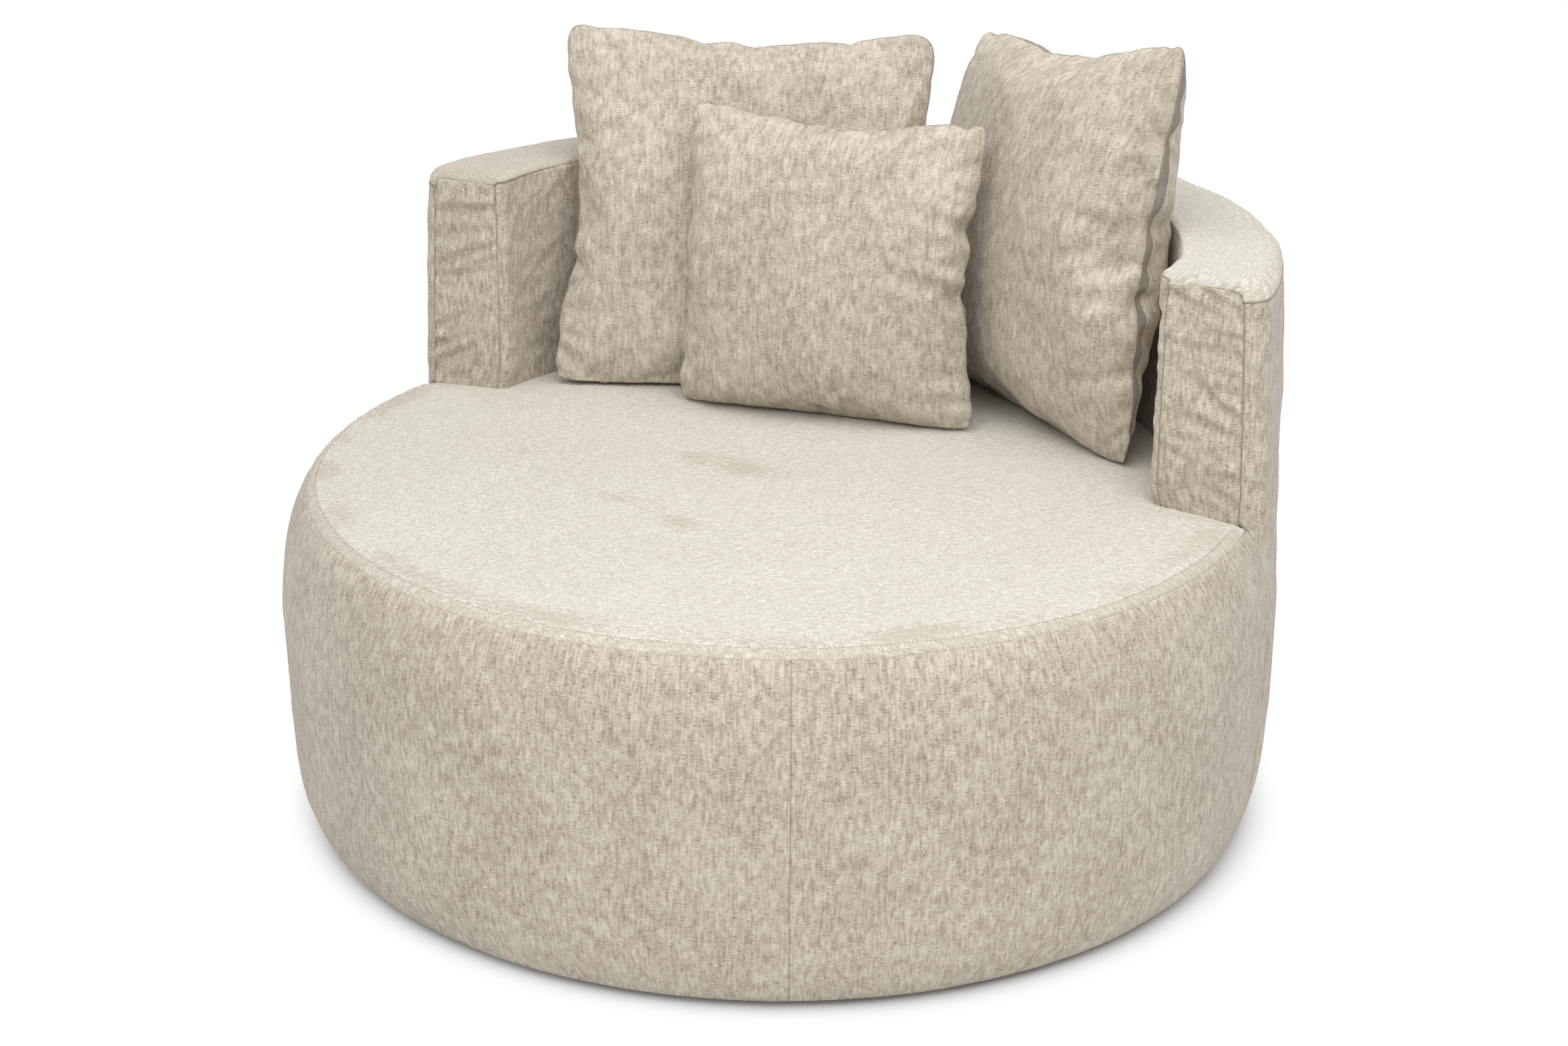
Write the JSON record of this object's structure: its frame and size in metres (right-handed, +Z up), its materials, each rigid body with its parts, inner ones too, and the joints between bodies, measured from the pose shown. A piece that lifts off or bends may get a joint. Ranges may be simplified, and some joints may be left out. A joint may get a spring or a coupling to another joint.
{
  "type": "cuddle chair",
  "caption": "Round upholstered drum seat clasped by a C-shaped back and arms, with loose zipped scatter cushions standing against the back.",
  "frame": {"origin": "on the floor, under the middle of the chair's footprint", "axes": "+Z up; +Y towards the back; the open front faces -Y; +X to the sitter's left, which is the right of the front view"},
  "size_m": [1.2791, 1.3124, 0.9928],
  "materials": {
    "cover_fabric": "short heathered chenille pile, soft sheen",
    "cushion_fabric": "short heathered chenille pile, soft sheen",
    "foam": "open-cell foam",
    "wadding": "white polyester fibre",
    "plywood": "unfinished",
    "timber": "unfinished",
    "hardboard": "smooth, unfinished",
    "spring_steel": "drawn wire",
    "glide_plastic": "moulded",
    "base_cloth": "thin non-woven cloth",
    "zip_nylon": "woven tape with nylon coil",
    "zip_metal": "die-cast"
  },
  "bodies": {
    "chair": {"base_board": "plywood", "seat_ring": "plywood", "top_rib": "plywood", "lower_post_1": "timber", "lower_post_2": "timber", "lower_post_3": "timber", "lower_post_4": "timber", "lower_post_5": "timber", "lower_post_6": "timber", "upper_post_1": "timber", "upper_post_2": "timber", "upper_post_3": "timber", "upper_post_4": "timber", "upper_post_5": "timber", "arm_upright_left": "timber", "arm_upright_right": "timber", "drum_board": "hardboard", "outer_back_board": "hardboard", "inner_back_board": "hardboard", "seat_spring_1": "spring_steel", "seat_spring_2": "spring_steel", "seat_spring_3": "spring_steel", "seat_spring_4": "spring_steel", "seat_spring_5": "spring_steel", "seat_foam": "foam", "seat_wadding": "wadding", "drum_wrap": "foam", "back_lower_wrap": "foam", "back_upper_wrap": "foam", "inner_back_foam": "foam", "back_top_pad": "foam", "arm_front_pad_left": "foam", "arm_front_pad_right": "foam", "seat_cover": "cover_fabric", "back_top_cover": "cover_fabric", "drum_side_panel_long": "cover_fabric", "drum_side_panel_short": "cover_fabric", "outer_back_cover": "cover_fabric", "inner_back_cover": "cover_fabric", "arm_front_cover_left": "cover_fabric", "arm_front_cover_right": "cover_fabric", "base_cloth": "base_cloth", "glide_1": "glide_plastic", "glide_2": "glide_plastic", "glide_3": "glide_plastic", "glide_4": "glide_plastic", "glide_5": "glide_plastic", "glide_6": "glide_plastic"},
    "left_cushion": {"left_cushion_cover": "cushion_fabric", "left_cushion_filling": "wadding", "left_cushion_zip_tape": "zip_nylon"},
    "left_zip_slider": {"left_cushion_zip_slider": "zip_metal"},
    "small_cushion": {"small_cushion_cover": "cushion_fabric", "small_cushion_filling": "wadding", "small_cushion_zip_tape": "zip_nylon"},
    "small_zip_slider": {"small_cushion_zip_slider": "zip_metal"},
    "right_cushion": {"right_cushion_cover": "cushion_fabric", "right_cushion_filling": "wadding", "right_cushion_zip_tape": "zip_nylon"},
    "right_zip_slider": {"right_cushion_zip_slider": "zip_metal"}
  },
  "joints": [
    {"name": "left_cushion_lift", "type": "slide", "parent": "chair", "child": "left_cushion", "axis": [-0.1001, 0.2478, 0.9636], "range_m": [0, 0.6]},
    {"name": "small_cushion_lift", "type": "slide", "parent": "chair", "child": "small_cushion", "axis": [-0.0245, 0.1545, 0.9877], "range_m": [0, 0.6]},
    {"name": "right_cushion_lift", "type": "slide", "parent": "chair", "child": "right_cushion", "axis": [0.0665, 0.0873, 0.994], "range_m": [0, 0.6]},
    {"name": "left_zip", "type": "slide", "parent": "left_cushion", "child": "left_zip_slider", "axis": [0.9272, 0.3746, 0], "range_m": [0, 0.38]},
    {"name": "small_zip", "type": "slide", "parent": "small_cushion", "child": "small_zip_slider", "axis": [0.9877, 0.1564, 0], "range_m": [0, 0.308]},
    {"name": "right_zip", "type": "slide", "parent": "right_cushion", "child": "right_zip_slider", "axis": [0.7955, -0.606, 0], "range_m": [0, 0.391]}
  ]
}
